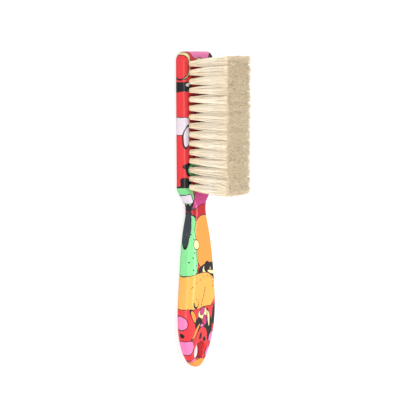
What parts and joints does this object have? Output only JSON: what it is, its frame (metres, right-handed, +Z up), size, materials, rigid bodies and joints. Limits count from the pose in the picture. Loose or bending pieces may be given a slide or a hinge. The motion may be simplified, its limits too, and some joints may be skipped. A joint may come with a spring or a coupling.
{
  "type": "fade brush",
  "caption": "Barber's fade brush: flat rounded grip with a hang hole and a straight head set with rows of natural bristle tufts held by wire anchors.",
  "frame": {"origin": "under the middle of the brush's bounding box, on the surface that the brush lies on when its bristles point up", "axes": "+X from the head towards the tail, +Y across the brush, +Z up along the bristles"},
  "size_m": [0.2, 0.0338, 0.0365],
  "materials": {
    "handle": "moulded ABS, water-transfer printed with flat colour patches and clear lacquered, glossy",
    "bristle": "bleached natural bristle, dull, with frayed flagged tips",
    "anchor_wire": "flat drawn steel wire, cut to length"
  },
  "bodies": {
    "root": {"handle": "handle", "tuft_row_01": "bristle", "tuft_row_02": "bristle", "tuft_row_03": "bristle", "tuft_row_04": "bristle", "tuft_row_05": "bristle", "tuft_row_06": "bristle", "tuft_row_07": "bristle", "tuft_row_08": "bristle", "tuft_row_09": "bristle", "tuft_row_10": "bristle", "tuft_row_11": "bristle", "tuft_row_12": "bristle", "tuft_row_13": "bristle", "tuft_row_14": "bristle", "tuft_row_15": "bristle", "anchor_row_01": "anchor_wire", "anchor_row_02": "anchor_wire", "anchor_row_03": "anchor_wire", "anchor_row_04": "anchor_wire", "anchor_row_05": "anchor_wire", "anchor_row_06": "anchor_wire", "anchor_row_07": "anchor_wire", "anchor_row_08": "anchor_wire", "anchor_row_09": "anchor_wire", "anchor_row_10": "anchor_wire", "anchor_row_11": "anchor_wire", "anchor_row_12": "anchor_wire", "anchor_row_13": "anchor_wire", "anchor_row_14": "anchor_wire", "anchor_row_15": "anchor_wire"}
  },
  "joints": []
}
